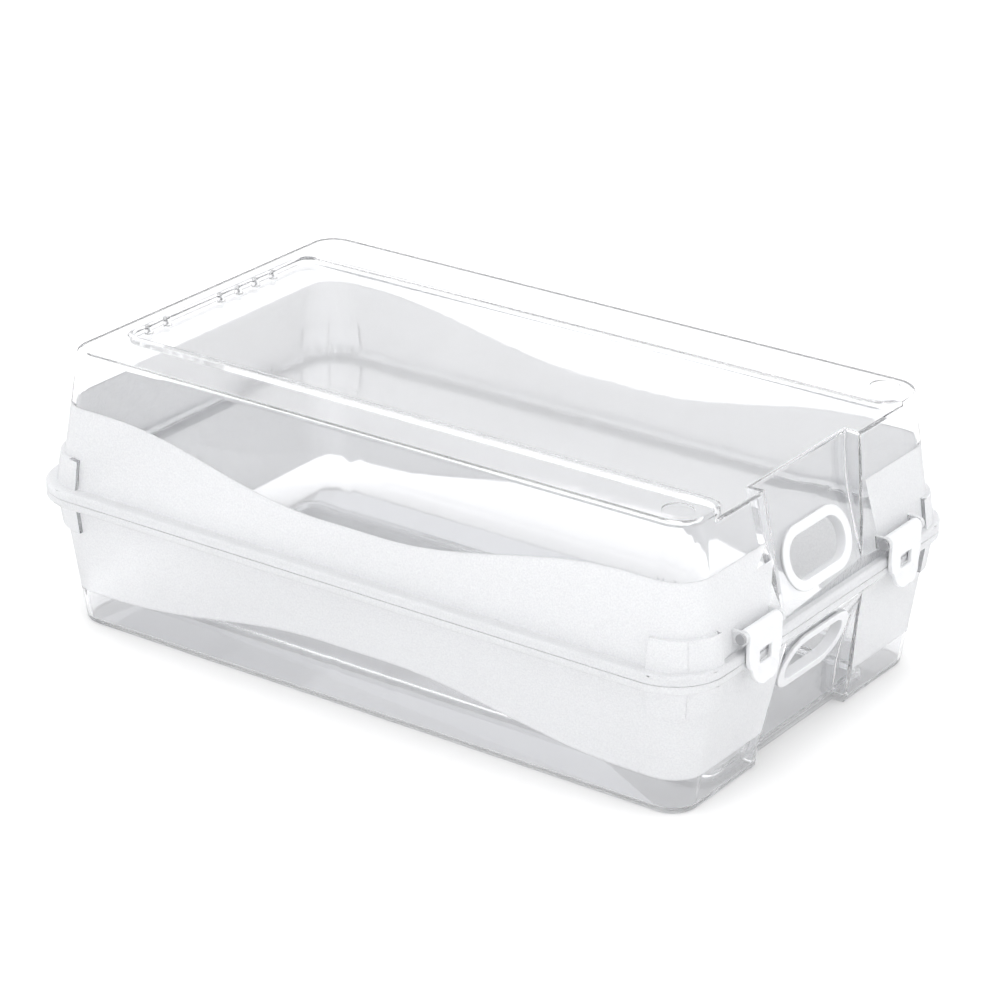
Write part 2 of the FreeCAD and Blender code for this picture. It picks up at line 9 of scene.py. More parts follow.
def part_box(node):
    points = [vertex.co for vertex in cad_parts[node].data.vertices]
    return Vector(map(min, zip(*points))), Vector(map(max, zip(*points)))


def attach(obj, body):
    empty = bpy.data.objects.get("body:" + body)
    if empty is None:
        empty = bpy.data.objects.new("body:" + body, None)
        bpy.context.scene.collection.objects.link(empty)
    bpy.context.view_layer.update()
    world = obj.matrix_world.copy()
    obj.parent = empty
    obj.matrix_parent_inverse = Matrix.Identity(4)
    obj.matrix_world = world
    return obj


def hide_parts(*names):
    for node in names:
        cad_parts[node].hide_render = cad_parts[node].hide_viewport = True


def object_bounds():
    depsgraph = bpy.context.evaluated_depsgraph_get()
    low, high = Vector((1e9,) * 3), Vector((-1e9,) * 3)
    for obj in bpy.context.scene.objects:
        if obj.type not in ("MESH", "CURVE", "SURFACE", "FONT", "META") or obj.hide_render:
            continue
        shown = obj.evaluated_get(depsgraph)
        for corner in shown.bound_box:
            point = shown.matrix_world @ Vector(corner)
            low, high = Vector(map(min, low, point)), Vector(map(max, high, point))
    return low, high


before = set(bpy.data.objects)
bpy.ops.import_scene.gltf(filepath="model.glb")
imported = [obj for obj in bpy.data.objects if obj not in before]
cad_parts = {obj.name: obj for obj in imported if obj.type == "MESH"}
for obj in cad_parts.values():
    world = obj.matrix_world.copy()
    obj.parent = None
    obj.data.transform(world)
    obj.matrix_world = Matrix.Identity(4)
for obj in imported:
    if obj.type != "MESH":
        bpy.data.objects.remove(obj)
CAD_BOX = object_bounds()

bl_info = {
    "name": "Egg Holder Tray Looks",
    "version": (1, 0, 0),
    "blender": (4, 5, 0),
    "location": "View3D > Sidebar > Egg Tray",
    "description": "Builds the visible pieces and finishes of a clear two-part egg holder tray",
    "category": "Object",
}

LOW, HIGH = CAD_BOX
PARTING = HIGH.z / 2
SHELL_LOW, SHELL_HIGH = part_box("lower_shell")
MIDDLE_X = (SHELL_HIGH.x + SHELL_LOW.x) / 2  # of the lower half with its flange and hinge

# Dimensions of the mouldings and the latches, as in the CAD. The walls' outline is the one at
# the parting.
WALLS_MIDDLE_X = 0.00295
WALLS_HALF_LENGTH = 0.170
WALLS_HALF_WIDTH = 0.1025
WALLS_CORNER = 0.0215
WALL_THICKNESS = 0.002
WALL_LEAN = 0.1476  # inwards for each metre of height
RAIL_HEIGHT = 0.0035
LATCH_MIDDLE_Y = 0.0565
LATCH_BARREL_RADIUS = 0.0029
PATCH_PROUD = 0.002  # the thickened corners, outwards

# Sizes that only the looks have.
CORNER_LINE_ENDS = (0.0042, 0.0168)  # up or down from the parting
CHANNEL_GAP = 0.0400  # half the gap that the beads leave for the front channel
PIN_ROUNDING = 0.0002


# ------------------------------------------------------------------ sizes and colours

class TrayBand(bpy.types.PropertyGroup):
    """The frosted band round the walls, above and below the parting line."""
    middle_x: FloatProperty(
        name="Middle", description="Where along the tray the waves are lowest",
        default=WALLS_MIDDLE_X, unit="LENGTH")
    upper_low: FloatProperty(
        name="Upper dip", description="Height above the parting at the middle of a side",
        default=0.0234, unit="LENGTH")
    upper_rise: FloatProperty(
        name="Upper rise", description="How much higher the band is at the ends",
        default=0.0165, unit="LENGTH")
    lower_low: FloatProperty(
        name="Lower dip", description="Depth below the parting at the middle of a side",
        default=0.0334, unit="LENGTH")
    lower_rise: FloatProperty(
        name="Lower rise", description="How much deeper the band is at the ends",
        default=0.0140, unit="LENGTH")
    flat: FloatProperty(
        name="Flat middle", description="Half length of the wave's level middle",
        default=0.016, unit="LENGTH")
    run: FloatProperty(
        name="Wave run", description="Length over which the wave rises to the ends",
        default=0.120, unit="LENGTH")
    slices: IntProperty(
        name="Slices", description="Cuts along the tray that the wave's edge follows",
        default=70, min=10)


class TrayFinish(bpy.types.PropertyGroup):
    """Colours and surface values of the tray's materials."""
    clear_tint: FloatVectorProperty(
        name="Clear tint", description="Colour of the clear plastic",
        default=(0.978, 0.981, 0.99), subtype="COLOR", min=0, max=1)
    # Painted shade, with a little real absorption: the clear plastic's colour where it is seen
    # edge-on, darkened so that its edges show as grey lines.
    edge_tint_and_painted_shade: FloatVectorProperty(
        name="Clear edge tint", description="Colour of the clear plastic seen along its surface",
        default=(0.40, 0.41, 0.44), subtype="COLOR", min=0, max=1)
    frost_tint: FloatVectorProperty(
        name="Frosted tint", description="Colour of the frosted band",
        default=(0.93, 0.936, 0.958), subtype="COLOR", min=0, max=1)
    white: FloatVectorProperty(
        name="White plastic", description="Colour of the latches and grip rims",
        default=(0.76, 0.765, 0.78), subtype="COLOR", min=0, max=1)
    steel: FloatVectorProperty(
        name="Steel", description="Colour of the pins",
        default=(0.52, 0.52, 0.53), subtype="COLOR", min=0, max=1)
    grain: FloatProperty(
        name="Frost grain", description="Size of the frosted texture's grain",
        default=0.0007, unit="LENGTH")


class TrayEdges(bpy.types.PropertyGroup):
    """Rounding of the moulded edges."""
    shell: FloatProperty(
        name="Shell edges", description="Rounding of the clear halves' small edges",
        default=0.00015, unit="LENGTH")
    rails: FloatProperty(
        name="Rail edges", description="Rounding of the rails and the panel between them",
        default=0.0011, unit="LENGTH")
    channel: FloatProperty(
        name="Channel edges", description="Rounding of the front channel's long edges",
        default=0.0016, unit="LENGTH")
    inner: FloatProperty(
        name="Inner corner", description="Rounding inside, between the base and the walls",
        default=0.0010, unit="LENGTH")
    trim: FloatProperty(
        name="Trim edges", description="Rounding of the grip rims' edges",
        default=0.0004, unit="LENGTH")
    latch: FloatProperty(
        name="Latch edges", description="Rounding of the latches' edges",
        default=0.0005, unit="LENGTH")


class TrayScoop(bpy.types.PropertyGroup):
    """The finger scoop in each latch's tongue."""
    below: FloatProperty(
        name="Below pin", description="Pin to the middle of the scoop",
        default=0.0180, unit="LENGTH")
    half_width: FloatProperty(
        name="Half width", description="Half the scoop's width", default=0.0088, unit="LENGTH")
    half_height: FloatProperty(
        name="Half height", description="Half the scoop's height", default=0.0048, unit="LENGTH")
    depth: FloatProperty(
        name="Depth", description="How deep the scoop is", default=0.0007, unit="LENGTH")
    neck: FloatProperty(
        name="Neck", description="Tongue's width against the plate's", default=0.82)
    neck_start: FloatProperty(
        name="Neck start", description="Pin to where the plate starts to narrow",
        default=0.0125, unit="LENGTH")
    neck_end: FloatProperty(
        name="Neck end", description="Pin to where the tongue has its width",
        default=0.0150, unit="LENGTH")


class TrayStage(bpy.types.PropertyGroup):
    """Camera, floor and lights."""
    azimuth: FloatProperty(
        name="Azimuth", description="Camera's turn round the tray", default=math.radians(35.31),
        subtype="ANGLE")
    elevation: FloatProperty(
        name="Elevation", description="Camera's height angle", default=math.radians(23.65),
        subtype="ANGLE")
    roll: FloatProperty(
        name="Roll", description="Camera's roll", default=math.radians(0.42), subtype="ANGLE")
    distance: FloatProperty(
        name="Distance", description="Camera to the middle of the tray", default=1.61876,
        unit="LENGTH")
    lens: FloatProperty(
        name="Lens", description="Focal length on a 36 mm sensor", default=133.53)
    key: FloatProperty(name="Key light", description="Power of the overhead light", default=6)


# ------------------------------------------------------------------ materials

CLEAR_IOR = 1.49


def new_material(name):
    """An empty material and its node tree."""
    material = bpy.data.materials.new(name)
    material.use_nodes = True
    material.node_tree.nodes.clear()
    return material, material.node_tree


def add_node(tree, kind, **values):
    """A node with its inputs set by name."""
    node = tree.nodes.new(kind)
    for name, value in values.items():
        node.inputs[name.replace("_", " ")].default_value = value
    return node


def finish_material(tree, shader):
    """Join the shader to the material's output."""
    out = tree.nodes.new("ShaderNodeOutputMaterial")
    tree.links.new(shader.outputs[0], out.inputs["Surface"])


def moulded_bump(tree, scale, strength, distance):
    """A soft, shallow unevenness in object space."""
    where = tree.nodes.new("ShaderNodeTexCoord")
    noise = add_node(tree, "ShaderNodeTexNoise", Scale=scale, Detail=3.0, Roughness=0.55)
    tree.links.new(where.outputs["Object"], noise.inputs["Vector"])
    bump = add_node(tree, "ShaderNodeBump", Strength=strength, Distance=distance)
    tree.links.new(noise.outputs["Fac"], bump.inputs["Height"])
    return noise, bump


def ranged(tree, source, low, high):
    """A 0 to 1 value spread over another range."""
    node = tree.nodes.new("ShaderNodeMapRange")
    node.inputs["To Min"].default_value = low
    node.inputs["To Max"].default_value = high
    tree.links.new(source, node.inputs["Value"])
    return node.outputs["Result"]


def clear_plastic(finish):
    """Polished clear moulded plastic with very slight flow waves, its colour darkened where it is
    seen edge-on: painted shade, with a little real absorption.
    """
    material, tree = new_material("clear_moulded_plastic")
    shader = tree.nodes.new("ShaderNodeBsdfPrincipled")
    shader.inputs["IOR"].default_value = CLEAR_IOR
    shader.inputs["Transmission Weight"].default_value = 1.0
    # Painted shade, with a little real absorption: the base colour turns from the clear tint to
    # the dark edge tint where the surface is seen edge-on.
    along = add_node(tree, "ShaderNodeLayerWeight", Blend=0.5)
    edge_on_painted_shade = tree.nodes.new("ShaderNodeMath")
    edge_on_painted_shade.operation = "POWER"
    edge_on_painted_shade.inputs[1].default_value = 4.0
    tree.links.new(along.outputs["Facing"], edge_on_painted_shade.inputs[0])
    tint = tree.nodes.new("ShaderNodeMix")
    tint.data_type = "RGBA"
    tint.inputs["A"].default_value = (*finish.clear_tint, 1)
    tint.inputs["B"].default_value = (*finish.edge_tint_and_painted_shade, 1)
    tree.links.new(edge_on_painted_shade.outputs[0], tint.inputs["Factor"])
    tree.links.new(tint.outputs["Result"], shader.inputs["Base Color"])
    noise, bump = moulded_bump(tree, 18.0, 0.12, 0.0012)
    tree.links.new(ranged(tree, noise.outputs["Fac"], 0.02, 0.07), shader.inputs["Roughness"])
    tree.links.new(bump.outputs[0], shader.inputs["Normal"])
    finish_material(tree, shader)
    return material


def frosted_plastic(finish):
    """The same plastic with a fine spark-textured surface."""
    material, tree = new_material("frosted_moulded_plastic")
    shader = tree.nodes.new("ShaderNodeBsdfPrincipled")
    shader.inputs["IOR"].default_value = CLEAR_IOR
    shader.inputs["Transmission Weight"].default_value = 0.45
    where = tree.nodes.new("ShaderNodeTexCoord")
    fine = add_node(tree, "ShaderNodeTexNoise", Scale=1 / finish.grain, Detail=2.0, Roughness=0.6)
    cells = add_node(tree, "ShaderNodeTexVoronoi", Scale=0.6 / finish.grain)
    for texture in (fine, cells):
        tree.links.new(where.outputs["Object"], texture.inputs["Vector"])
    both = tree.nodes.new("ShaderNodeMath")
    both.operation = "MULTIPLY_ADD"
    both.inputs[1].default_value = 0.5
    tree.links.new(cells.outputs["Distance"], both.inputs[0])
    tree.links.new(fine.outputs["Fac"], both.inputs[2])
    bump = add_node(tree, "ShaderNodeBump", Strength=0.55, Distance=0.00035)
    tree.links.new(both.outputs[0], bump.inputs["Height"])
    tree.links.new(ranged(tree, fine.outputs["Fac"], 0.42, 0.62), shader.inputs["Roughness"])
    speckle = tree.nodes.new("ShaderNodeValToRGB")
    speckle.color_ramp.elements[0].position = 0.35
    speckle.color_ramp.elements[0].color = (*[c * 0.93 for c in finish.frost_tint], 1)
    speckle.color_ramp.elements[1].position = 0.70
    speckle.color_ramp.elements[1].color = (*[min(c * 1.06, 1) for c in finish.frost_tint], 1)
    tree.links.new(fine.outputs["Fac"], speckle.inputs["Fac"])
    tree.links.new(speckle.outputs["Color"], shader.inputs["Base Color"])
    tree.links.new(bump.outputs[0], shader.inputs["Normal"])
    finish_material(tree, shader)
    return material


def white_plastic(finish):
    """Satin white plastic that light passes into a little."""
    material, tree = new_material("white_satin_plastic")
    shader = tree.nodes.new("ShaderNodeBsdfPrincipled")
    shader.inputs["IOR"].default_value = 1.48
    shader.inputs["Subsurface Weight"].default_value = 0.25
    shader.inputs["Subsurface Radius"].default_value = (0.002, 0.002, 0.0018)
    shader.inputs["Subsurface Scale"].default_value = 1.0
    noise, bump = moulded_bump(tree, 420.0, 0.18, 0.0003)
    tree.links.new(ranged(tree, noise.outputs["Fac"], 0.26, 0.40), shader.inputs["Roughness"])
    mix = tree.nodes.new("ShaderNodeMix")
    mix.data_type = "RGBA"
    mix.inputs["A"].default_value = (*[c * 0.97 for c in finish.white], 1)
    mix.inputs["B"].default_value = (*finish.white, 1)
    tree.links.new(noise.outputs["Fac"], mix.inputs["Factor"])
    tree.links.new(mix.outputs["Result"], shader.inputs["Base Color"])
    tree.links.new(bump.outputs[0], shader.inputs["Normal"])
    finish_material(tree, shader)
    return material


def drawn_steel(finish):
    """Drawn steel wire with fine rings along its axis."""
    material, tree = new_material("drawn_steel")
    shader = tree.nodes.new("ShaderNodeBsdfPrincipled")
    shader.inputs["Base Color"].default_value = (*finish.steel, 1)
    shader.inputs["Metallic"].default_value = 1.0
    where = tree.nodes.new("ShaderNodeTexCoord")
    stretch = tree.nodes.new("ShaderNodeMapping")
    stretch.inputs["Scale"].default_value = (400, 3500, 400)
    noise = add_node(tree, "ShaderNodeTexNoise", Scale=1.0, Detail=3.0)
    tree.links.new(where.outputs["Object"], stretch.inputs["Vector"])
    tree.links.new(stretch.outputs[0], noise.inputs["Vector"])
    bump = add_node(tree, "ShaderNodeBump", Strength=0.2, Distance=0.0001)
    tree.links.new(noise.outputs["Fac"], bump.inputs["Height"])
    tree.links.new(ranged(tree, noise.outputs["Fac"], 0.22, 0.42), shader.inputs["Roughness"])
    tree.links.new(bump.outputs[0], shader.inputs["Normal"])
    finish_material(tree, shader)
    return material


def material_of(name):
    """The finish with this name, made when it is first asked for."""
    makers = {
        "clear_moulded_plastic": clear_plastic,
        "frosted_moulded_plastic": frosted_plastic,
        "white_satin_plastic": white_plastic,
        "drawn_steel": drawn_steel,
    }
    found = bpy.data.materials.get(name)
    return found or makers[name](bpy.context.scene.tray_finish)


# ------------------------------------------------------------------ mesh helpers

EDGE_SEGMENTS = 3
EDGE_ANGLE = math.radians(32)
SHELL_SHADING, SMALL_PIECE_SHADING = 36, 40  # degrees up to which shading is smooth


def new_object(name, data):
    """A new object, linked to the scene."""
    made = bpy.data.objects.new(name, data)
    bpy.context.scene.collection.objects.link(made)
    return made


def smooth_faces(mesh):
    """Give every face smooth shading."""
    for face in mesh.polygons:
        face.use_smooth = True
    return mesh


def merged_copy(node):
    """A closed mesh of a CAD node, with flat faces joined up."""
    bm = bmesh.new()
    bm.from_mesh(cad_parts[node].data)
    bmesh.ops.remove_doubles(bm, verts=bm.verts, dist=1e-6)
    bmesh.ops.dissolve_limit(bm, angle_limit=math.radians(0.5), verts=bm.verts, edges=bm.edges)
    return bm


def put_object(name, mesh, body, materials):
    """A finished piece that rides on a body, with its materials in order."""
    piece = new_object(name, mesh)
    for material in materials:
        mesh.materials.append(material_of(material))
    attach(piece, body)
    return piece


def rounded(name, bm, width):
    """The mesh with its sharp edges rounded."""
    mesh = bpy.data.meshes.new(name)
    bm.to_mesh(mesh)
    bm.free()
    holder = new_object(name + "_work", smooth_faces(mesh))
    bevel = holder.modifiers.new("Edges", "BEVEL")
    bevel.width = width
    bevel.segments = EDGE_SEGMENTS
    bevel.limit_method = "ANGLE"
    bevel.angle_limit = EDGE_ANGLE
    bevel.use_clamp_overlap = False
    bevel.miter_outer = "MITER_ARC"
    return evaluated(holder, name)


def evaluated(holder, name):
    """The plain mesh that an object's modifiers give. The object is removed."""
    bpy.context.view_layer.update()
    done = bpy.data.meshes.new_from_object(
        holder.evaluated_get(bpy.context.evaluated_depsgraph_get()))
    bpy.data.objects.remove(holder)
    done.name = name
    return done


def smooth_by_angle(mesh, degrees):
    """Smooth shading up to an angle, with large faces and level faces kept flat."""
    level = 0.9999  # a level face's normal is at least this upright
    smooth_faces(mesh).set_sharp_from_angle(angle=math.radians(degrees))
    holder = new_object(mesh.name + "_work", mesh)
    weighted = holder.modifiers.new("Normals", "WEIGHTED_NORMAL")
    weighted.keep_sharp = True
    weighted.weight = 80
    done = evaluated(holder, mesh.name)
    normals = [tuple(corner.vector) for corner in done.corner_normals]
    for face in done.polygons:
        if abs(face.normal.z) > level:
            for corner in face.loop_indices:
                normals[corner] = tuple(face.normal)
    done.normals_split_custom_set(normals)
    return done


def triangulated(mesh):
    """The same mesh with every face cut into triangles."""
    bm = bmesh.new()
    bm.from_mesh(mesh)
    bmesh.ops.triangulate(bm, faces=bm.faces)
    bm.to_mesh(mesh)
    bm.free()
    return mesh


def round_edges(bm, chosen, width, segments):
    """Round the edges for which chosen(edge) is true."""
    picked = [e for e in bm.edges if len(e.link_faces) == 2 and chosen(e)]
    if not picked:
        raise RuntimeError("there are no edges to round")
    bmesh.ops.bevel(bm, geom=picked, offset=width, segments=segments, profile=0.5,
                    affect="EDGES", clamp_overlap=False)


# ------------------------------------------------------------------ shells

WALL_SLOPE = 0.6  # a wall's normal is less upright than this
STEEP_WALL_SLOPE = 0.3

# Limits of the frosted places: along the tray from MIDDLE_X, across it from its middle line,
# and up or down from the parting.
FLANGE_REACH = 0.0045
PATCH_ALONG, PATCH_ACROSS, PATCH_REACH = 0.148, 0.082, 0.018
EAR_NEAR, EAR_FAR, EAR_REACH = 0.0124, 0.0156, 0.0145  # near and far from the latch's middle
SIDE_WALL_ACROSS, END_WALL_ALONG = 0.0885, 0.152
CHANNEL_ACROSS = 0.0405
EAR_X = 0.167  # a place in the tray's own frame

# Tolerances in height, and the angles between faces from which an edge counts as a corner.
SAME_HEIGHT, HARDLY_SLOPED = 2e-5, 1e-5
SHARP_CORNER, CHANNEL_CORNER = math.radians(60), math.radians(40)

# Places in the tray's own frame that tell the moulded edges apart. The ones across the tray
# hold on both sides of its middle line.
PANEL_SIDE_Y, PANEL_FRONT_X = 0.0745, 0.158
PANEL_MOUTH_Y = 0.0636
BASE_SIDE_Y, BASE_FRONT_X = 0.078, 0.147
CHANNEL_ZONE_Y, CHANNEL_ZONE_X, CHANNEL_ZONE_INNER_X = 0.050, 0.146, 0.140
CHANNEL_X, CHANNEL_RIM_Y, CHANNEL_FOOT_Z = 0.150, 0.030, 0.0045
BASE_REAR = 0.145  # back from MIDDLE_X
CHANNEL_TOP_DROP = 0.0075  # up or down from the parting
CHANNEL_SPREAD = 0.007  # how much wider the channel is on each side at the base
CHANNEL_SLACK = 0.0006  # how far from the channel's side an edge may lie


def wave(x, band):
    """0 at the middle of a side, 1 at the ends."""
    share = (abs(x - band.middle_x) - band.flat) / band.run
    return (1 - math.cos(math.pi * min(max(share, 0), 1))) / 2


def upper_edge(x, band):
    """Height of the frosted band's upper edge."""
    return PARTING + band.upper_low + band.upper_rise * wave(x, band)


def lower_edge(x, band):
    """Height of the frosted band's lower edge."""
    return PARTING - band.lower_low - band.lower_rise * wave(x, band)


def split_along(bm, height_at):
    """Cut the faces along the line where z is height_at(x)."""
    over = {v: v.co.z - height_at(v.co.x) for v in bm.verts}
    crossed = [e for e in bm.edges if over[e.verts[0]] * over[e.verts[1]] < 0]
    fresh = set()
    for edge in crossed:
        start, end = edge.verts
        share = over[start] / (over[start] - over[end])
        fresh.add(bmesh.utils.edge_split(edge, start, share)[1])
    for face in list(bm.faces):
        cuts = [v for v in face.verts if v in fresh]
        if len(cuts) == 2 and not bm.edges.get(cuts):
            bmesh.utils.face_split(face, cuts[0], cuts[1])


def frost_the_band(mesh, band, edge_at, inside):
    """Give the outer wall faces inside the band the second material."""
    bm = bmesh.new()
    bm.from_mesh(mesh)
    low = min(v.co.x for v in bm.verts)
    high = max(v.co.x for v in bm.verts)
    levels = [edge_at(band.middle_x), edge_at(high)]
    for number in range(1, band.slices):
        x = low + (high - low) * number / band.slices
        faces = [f for f in bm.faces if abs(f.normal.z) < WALL_SLOPE
                 and min(v.co.z for v in f.verts) < max(levels)
                 and max(v.co.z for v in f.verts) > min(levels)
                 and min(v.co.x for v in f.verts) < x < max(v.co.x for v in f.verts)]
        geometry = faces + list({e for f in faces for e in f.edges})
        geometry += list({v for f in faces for v in f.verts})
        bmesh.ops.bisect_plane(bm, geom=geometry, dist=1e-6, plane_co=(x, 0, 0),
                               plane_no=(1, 0, 0))
    bmesh.ops.triangulate(bm, faces=bm.faces)
    split_along(bm, edge_at)
    for face in bm.faces:
        middle = face.calc_center_median()
        face.material_index = int(inside(middle, face.normal))
    bm.to_mesh(mesh)
    bm.free()


def is_frosted(point, normal):
    """True on the outside of the walls, the flange, the corner patches and the ears."""
    off = abs(point.z - PARTING)
    outward = Vector((point.x - MIDDLE_X, point.y, 0))
    if off < FLANGE_REACH:
        return True
    if outward.dot(normal) < 0 and abs(normal.z) < WALL_SLOPE:
        return False
    far_x = abs(point.x - MIDDLE_X)
    patch = far_x > PATCH_ALONG and abs(point.y) > PATCH_ACROSS and off < PATCH_REACH
    from_latch = abs(abs(point.y) - LATCH_MIDDLE_Y)
    ear = point.x > EAR_X and EAR_NEAR < from_latch < EAR_FAR and off < EAR_REACH
    if patch or ear:
        return True
    on_side = abs(point.y) > SIDE_WALL_ACROSS and normal.y * point.y > 0
    on_end = far_x > END_WALL_ALONG and normal.x * outward.x > 0
    in_channel = point.x > 0 and abs(point.y) < CHANNEL_ACROSS
    return abs(normal.z) < STEEP_WALL_SLOPE and (on_side or on_end) and not in_channel


def is_rail_edge(edge, level, step):
    """True on the rails' and the panel's outlines, on both faces of the moulding."""
    heights = [level + step * (rail + wall)
               for rail in (0, RAIL_HEIGHT) for wall in (0, WALL_THICKNESS)]
    one, two = (v.co for v in edge.verts)
    if edge.calc_face_angle(0) < SHARP_CORNER or abs(one.z - two.z) > HARDLY_SLOPED:
        return False
    middle = (one + two) / 2
    near_front = middle.x > CHANNEL_ZONE_X and abs(middle.y) < CHANNEL_ZONE_Y
    return (abs(middle.y) < PANEL_SIDE_Y and middle.x < PANEL_FRONT_X and not near_front
            and any(abs(one.z - height) < SAME_HEIGHT for height in heights))


def is_inner_corner(edge, level, step):
    """True where the inner face of the walls meets the inner face of the base."""
    one, two = (v.co for v in edge.verts)
    inner = level + step * WALL_THICKNESS
    middle = (one + two) / 2
    outlying = (abs(middle.y) > BASE_SIDE_Y or middle.x - MIDDLE_X < -BASE_REAR
                or middle.x > BASE_FRONT_X)
    near_channel = middle.x > CHANNEL_ZONE_INNER_X and abs(middle.y) < CHANNEL_ZONE_Y
    return (abs(one.z - inner) < SAME_HEIGHT and abs(two.z - inner) < SAME_HEIGHT and outlying
            and not near_channel and edge.calc_face_angle(0) > SHARP_CORNER)


def is_channel_edge(edge, level, step):
    """True on the front channel's long outer edges, and on the panel's open front edge."""
    if edge.calc_face_angle(0) < CHANNEL_CORNER:
        return False
    floor = level + step * RAIL_HEIGHT
    places = [vert.co for vert in edge.verts]
    if step < 0 and all(place.x > CHANNEL_X and abs(place.y) < PANEL_MOUTH_Y
                        and abs(place.z - floor) < SAME_HEIGHT for place in places):
        return True
    for place in places:
        drop = abs(place.z - PARTING)
        side = CHANNEL_RIM_Y + CHANNEL_SPREAD * drop / PARTING
        if place.x < CHANNEL_X or drop < CHANNEL_TOP_DROP:
            return False
        if abs(abs(place.y) - side) > CHANNEL_SLACK or (step > 0 and place.z < CHANNEL_FOOT_Z):
            return False
    return True


def moulded_half(node, name, level, step, edge_at):
    """The half's mesh, with its edges rounded and its band frosted.

    level is the height of its base. step is 1 where the walls rise from the base and -1 where
    they hang from it.
    """
    edges, band = bpy.context.scene.tray_edges, bpy.context.scene.tray_band
    bm = merged_copy(node)
    round_edges(bm, lambda e: is_inner_corner(e, level, step), edges.inner, 5)
    round_edges(bm, lambda e: is_rail_edge(e, level, step), edges.rails, 6)
    round_edges(bm, lambda e: is_channel_edge(e, level, step), edges.channel, 5)
    mesh = rounded(name, bm, edges.shell)
    frost_the_band(mesh, band, lambda x: edge_at(x, band), lambda p, n: (
        step * (p.z - edge_at(p.x, band)) > 0 and is_frosted(p, n)))
    return smooth_by_angle(mesh, SHELL_SHADING)


class TRAY_OT_lower_half(bpy.types.Operator):
    """Build the lower half with its frosted band"""
    bl_idname = "tray.lower_half"
    bl_label = "Lower half"

    def execute(self, context):
        mesh = moulded_half("lower_shell", "lower_half", LOW.z, 1, lower_edge)
        piece = put_object("lower_half", mesh, "base",
                           ["clear_moulded_plastic", "frosted_moulded_plastic"])
        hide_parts("lower_shell")
        return {"FINISHED"}


class TRAY_OT_upper_half(bpy.types.Operator):
    """Build the upper half with its frosted band"""
    bl_idname = "tray.upper_half"
    bl_label = "Upper half"

    def execute(self, context):
        mesh = moulded_half("upper_shell", "upper_half", HIGH.z, -1, upper_edge)
        piece = put_object("upper_half", mesh, "lid",
                           ["clear_moulded_plastic", "frosted_moulded_plastic"])
        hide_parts("upper_shell")
        return {"FINISHED"}


# ------------------------------------------------------------------ node trees

def new_tree(name, inputs):
    """A geometry tree with the named inputs, each a (name, socket kind, default)."""
    tree = bpy.data.node_groups.new(name, "GeometryNodeTree")
    tree.interface.new_socket("Geometry", in_out="INPUT", socket_type="NodeSocketGeometry")
    for title, kind, default in inputs:
        socket = tree.interface.new_socket(title, in_out="INPUT", socket_type=kind)
        if default is not None:
            socket.default_value = default
    tree.interface.new_socket("Geometry", in_out="OUTPUT", socket_type="NodeSocketGeometry")
    return tree, tree.nodes.new("NodeGroupInput"), tree.nodes.new("NodeGroupOutput")


def first_output(tree, node, sources):
    """Feed a node's inputs in order with sockets or numbers, and return its first output."""
    for place, source in enumerate(sources):
        if isinstance(source, (int, float)):
            node.inputs[place].default_value = source
        else:
            tree.links.new(source, node.inputs[place])
    return node.outputs[0]


def maths(tree, operation, *sources):
    """The result of a math node."""
    node = tree.nodes.new("ShaderNodeMath")
    node.operation = operation
    return first_output(tree, node, sources)


def vector_of(tree, x, y, z):
    """A vector from three sockets or numbers."""
    return first_output(tree, tree.nodes.new("ShaderNodeCombineXYZ"), (x, y, z))


def run_tree(holder, tree, values, name):
    """Apply a tree to an object with its inputs set, and return the plain mesh."""
    modifier = holder.modifiers.new(tree.name, "NODES")
    modifier.node_group = tree
    for item in tree.interface.items_tree:
        if item.item_type == "SOCKET" and item.in_out == "INPUT" and item.name in values:
            modifier[item.identifier] = values[item.name]
    return evaluated(holder, name)


def end_tree(tree, geometry, material, out):
    """Realize Instances and Set Material, then the output."""
    real = tree.nodes.new("GeometryNodeRealizeInstances")
    paint = tree.nodes.new("GeometryNodeSetMaterial")
    tree.links.new(geometry, real.inputs[0])
    tree.links.new(real.outputs[0], paint.inputs["Geometry"])
    tree.links.new(material, paint.inputs["Material"])
    tree.links.new(paint.outputs[0], out.inputs[0])


